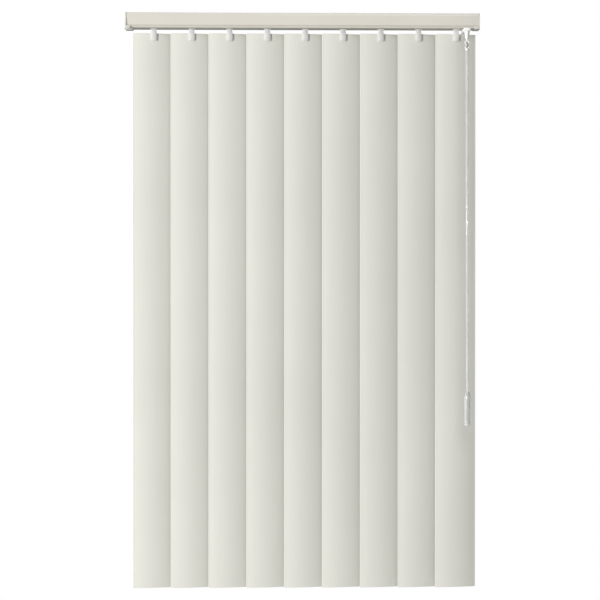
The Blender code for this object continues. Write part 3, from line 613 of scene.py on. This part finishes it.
stayingFinish = {"tilt_rod": drawnAluminium, "spacer": springSteel, "worm": greyMoulding,
                 "drive": greyMoulding, "cross": greyMoulding}
for node, obj in frame["nodes"].items():
    for start, finish in stayingFinish.items():
        if node.startswith(start):
            for slot in obj.material_slots:
                slot.material = finish
print("frame finishes done")


# ---- floor, lights and camera

studioLook = {"floorDrop": 0.16, "floorSize": (4.4, 3.0), "floorY": -0.9, "skySeen": 1.0, "skyLight": 0.24,
              "skyThrough": 0.5,
              "keyPower": 770.0, "keySize": 0.7, "keyPlace": (-6.4, -5.0, 0.2),
              "fillPower": 30.0, "fillSize": 1.8, "fillPlace": (0.8, -4.4, 2.2),
              "backPower": 45.0, "backSize": 2.0, "backPlace": (0.6, 4.4, 2.9)}


def buildStudio(look):
    floorZ = cadBounds[0][2] - look["floorDrop"]
    bm = bmesh.new()
    bmesh.ops.create_grid(bm, x_segments=1, y_segments=1, size=0.5)
    bmesh.ops.scale(bm, vec=(*look["floorSize"], 1), verts=bm.verts)
    bmesh.ops.translate(bm, vec=(0, look["floorY"], floorZ), verts=bm.verts)
    mesh = bpy.data.meshes.new("studioFloor")
    bm.to_mesh(mesh)
    bm.free()
    floor = bpy.data.objects.new("studioFloor", mesh)
    bpy.context.scene.collection.objects.link(floor)
    mesh.materials.append(newMaterial("paleFloor", {
        "stretch": (1, 1, 1), "cloudScale": 2, "grainScale": 60,
        "darkTint": (0.80, 0.80, 0.79), "lightTint": (0.84, 0.84, 0.83),
        "roughness": (0.6, 0.75), "bump": 0.05, "bumpDepth": 0.0003}))

    world = bpy.data.worlds.new("studioSky")
    bpy.context.scene.world = world
    world.use_nodes = True
    nodes, links = world.node_tree.nodes, world.node_tree.links
    seen = nodes["Background"]
    seen.inputs["Color"].default_value = (1, 1, 1, 1)
    seen.inputs["Strength"].default_value = look["skySeen"]
    lit = nodes.new("ShaderNodeBackground")
    lit.inputs["Color"].default_value = (1, 1, 1, 1)
    lit.inputs["Strength"].default_value = look["skyLight"]
    ray = nodes.new("ShaderNodeLightPath")
    straight = nodes.new("ShaderNodeMath")              # white seen direct, dimmer through clear plastic
    straight.operation = "MULTIPLY_ADD"
    straight.inputs[1].default_value = look["skyThrough"]
    straight.use_clamp = True
    links.new(ray.outputs["Is Transmission Ray"], straight.inputs[0])
    links.new(ray.outputs["Is Camera Ray"], straight.inputs[2])
    mix = nodes.new("ShaderNodeMixShader")
    links.new(straight.outputs["Value"], mix.inputs["Fac"])
    links.new(lit.outputs["Background"], mix.inputs[1])
    links.new(seen.outputs["Background"], mix.inputs[2])
    links.new(mix.outputs["Shader"], nodes["World Output"].inputs["Surface"])
    for name in ("key", "fill", "back"):
        lamp = bpy.data.lights.new(name, "AREA")
        lamp.energy = look[name + "Power"]
        lamp.size = look[name + "Size"]
        holder = bpy.data.objects.new(name, lamp)
        holder.location = look[name + "Place"]
        aim = Vector((0, 0, -0.5)) - holder.location
        holder.rotation_euler = aim.to_track_quat("-Z", "Y").to_euler()
        bpy.context.scene.collection.objects.link(holder)
    bpy.context.scene.view_settings.view_transform = "Standard"


cameraLook = {"distance": 5.3, "turn": math.radians(1.56), "lens": 151.4, "aim": (-0.005, 0.0, -0.601)}


def buildCamera(look):
    data = bpy.data.cameras.new("camera")
    data.sensor_width = 36
    data.lens = look["lens"]
    data.clip_start, data.clip_end = 0.1, 50
    camera = bpy.data.objects.new("camera", data)
    back = Vector((-math.sin(look["turn"]), -math.cos(look["turn"]), 0))
    camera.location = Vector(look["aim"]) + back * look["distance"]
    camera.rotation_euler = (-back).to_track_quat("-Z", "Y").to_euler()
    bpy.context.scene.collection.objects.link(camera)
    bpy.context.scene.camera = camera


buildStudio(studioLook)
buildCamera(cameraLook)
print("studio ready")
